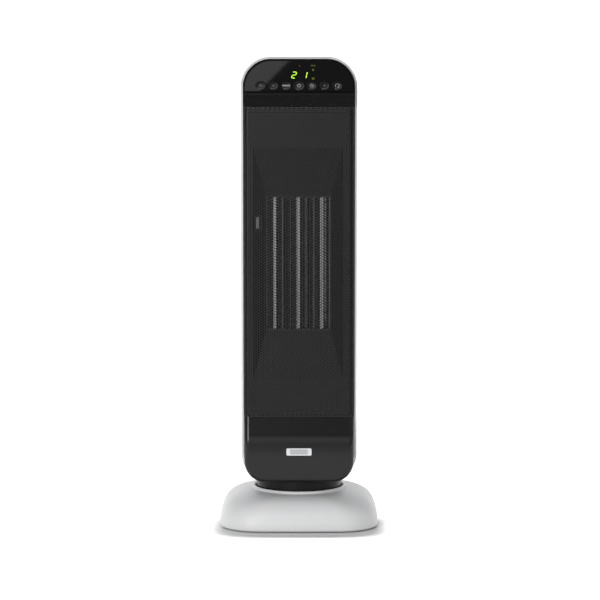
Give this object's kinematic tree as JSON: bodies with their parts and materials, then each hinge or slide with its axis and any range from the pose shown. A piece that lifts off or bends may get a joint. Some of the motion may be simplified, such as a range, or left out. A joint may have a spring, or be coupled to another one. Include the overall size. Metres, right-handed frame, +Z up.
{
  "type": "ceramic tower fan heater",
  "caption": "Oscillating tower fan heater: honeycomb outlet grille, tilted touch-key panel with display, white rear shell and a rounded pebble base.",
  "frame": {"origin": "centre of the base's footprint on the floor", "axes": "+Z up along the swing axis, -Y towards the outlet grille, +X to the right seen from the front"},
  "size_m": [0.205, 0.187, 0.6014],
  "materials": {
    "white_plastic": "satin",
    "base_plastic": "satin",
    "black_gloss": "gloss",
    "black_satin": "satin",
    "dark_plastic": "matte",
    "grille_black": "satin",
    "key_black": "gloss",
    "display_black": "gloss",
    "badge_silver": "brushed",
    "screw_steel": "zinc",
    "motor_steel": "laminated",
    "shaft_steel": "ground",
    "fin_aluminium": "bare",
    "bar_aluminium": "bare",
    "copper_coil": "taped winding",
    "bush_bronze": "sintered",
    "foot_rubber": "matte",
    "nylon_natural": "natural",
    "board_green": "solder mask",
    "board_cream": "phenolic",
    "lead_sleeve": "glass sleeve",
    "lead_black": "matte",
    "ceramic_stone": "fired ceramic",
    "cutout_white": "glazed",
    "impeller_plastic": "matte",
    "filter_net": "woven net",
    "element_resin": "glass filled"
  },
  "bodies": {
    "base": {"base_shell": "base_plastic", "base_plate": "dark_plastic", "base_feet": "foot_rubber", "base_screws": "screw_steel", "cord_gland": "dark_plastic", "swing_deck": "dark_plastic", "slide_ring": "nylon_natural", "swing_motor": "motor_steel", "swing_screws": "screw_steel", "pivot_screw": "screw_steel", "tip_switch": "dark_plastic", "tip_spring": "shaft_steel"},
    "tower": {"swivel_neck": "black_satin", "tower_chassis": "dark_plastic", "neck_screws": "screw_steel", "rear_shell": "white_plastic", "shell_screws": "screw_steel", "inlet_grille": "dark_plastic", "grip_cup": "white_plastic", "switch_housing": "black_satin", "front_frame": "dark_plastic", "front_grille": "grille_black", "lower_fascia": "black_gloss", "upper_fascia": "black_satin", "control_lens": "display_black", "control_board": "board_green", "key_switches": "black_satin", "display_module": "display_black", "badge": "badge_silver", "outlet_duct": "dark_plastic", "thermal_cutout": "cutout_white", "element_frame": "element_resin", "heater_bars": "bar_aluminium", "ptc_stones": "ceramic_stone", "heater_fins": "fin_aluminium", "fan_scroll": "dark_plastic", "scroll_floor": "dark_plastic", "motor_stator": "motor_steel", "motor_coil": "copper_coil", "motor_brackets": "motor_steel", "shaft_bushes": "bush_bronze", "power_board": "board_cream", "board_parts": "dark_plastic", "element_leads": "lead_sleeve", "panel_lead": "lead_black"},
    "fan": {"fan_impeller": "impeller_plastic", "fan_shaft": "shaft_steel", "motor_rotor": "motor_steel"},
    "dust_filter": {"filter_frame": "black_satin", "filter_mesh": "filter_net"},
    "tip_plunger": {"tip_plunger": "nylon_natural"},
    "swing_crank": {"swing_crank": "nylon_natural"},
    "power_rocker": {"power_rocker": "key_black"},
    "key_light": {"key_light": "key_black"},
    "key_minus": {"key_minus": "key_black"},
    "key_mode": {"key_mode": "key_black"},
    "key_power": {"key_power": "key_black"},
    "key_timer": {"key_timer": "key_black"},
    "key_plus": {"key_plus": "key_black"},
    "key_swing": {"key_swing": "key_black"}
  },
  "joints": [
    {"name": "tower_swivel", "type": "hinge", "parent": "base", "child": "tower", "pos_m": [0, 0, 0.04], "axis": [0, 0, 1], "range_deg": [-35, 35]},
    {"name": "crank_turn", "type": "hinge", "parent": "base", "child": "swing_crank", "pos_m": [0, 0.03, 0.032], "axis": [0, 0, 1], "range_deg": [-105, 105]},
    {"name": "tip_slide", "type": "slide", "parent": "base", "child": "tip_plunger", "axis": [0, 0, 1], "range_m": [-0.003, 0], "stiffness_N_per_m": 150, "springref_m": -0.004},
    {"name": "fan_spin", "type": "hinge", "parent": "tower", "child": "fan", "pos_m": [0.006, 0.014, 0.34], "axis": [0, 0, 1], "continuous": true},
    {"name": "filter_pull", "type": "slide", "parent": "tower", "child": "dust_filter", "axis": [0, 1, 0], "range_m": [0, 0.05]},
    {"name": "rocker_tilt", "type": "hinge", "parent": "tower", "child": "power_rocker", "pos_m": [0.02, 0.0545, 0.112], "axis": [1, 0, 0], "range_deg": [0, 18]},
    {"name": "press_light", "type": "slide", "parent": "tower", "child": "key_light", "axis": [0, 0.809, -0.5878], "range_m": [0, 0.0008], "stiffness_N_per_m": 900},
    {"name": "press_minus", "type": "slide", "parent": "tower", "child": "key_minus", "axis": [0, 0.809, -0.5878], "range_m": [0, 0.0008], "stiffness_N_per_m": 900},
    {"name": "press_mode", "type": "slide", "parent": "tower", "child": "key_mode", "axis": [0, 0.809, -0.5878], "range_m": [0, 0.0008], "stiffness_N_per_m": 900},
    {"name": "press_power", "type": "slide", "parent": "tower", "child": "key_power", "axis": [0, 0.809, -0.5878], "range_m": [0, 0.0008], "stiffness_N_per_m": 900},
    {"name": "press_timer", "type": "slide", "parent": "tower", "child": "key_timer", "axis": [0, 0.809, -0.5878], "range_m": [0, 0.0008], "stiffness_N_per_m": 900},
    {"name": "press_plus", "type": "slide", "parent": "tower", "child": "key_plus", "axis": [0, 0.809, -0.5878], "range_m": [0, 0.0008], "stiffness_N_per_m": 900},
    {"name": "press_swing", "type": "slide", "parent": "tower", "child": "key_swing", "axis": [0, 0.809, -0.5878], "range_m": [0, 0.0008], "stiffness_N_per_m": 900}
  ],
  "couplings": [
    {"joint": "crank_turn", "follows": "tower_swivel", "ratio": 3}
  ]
}
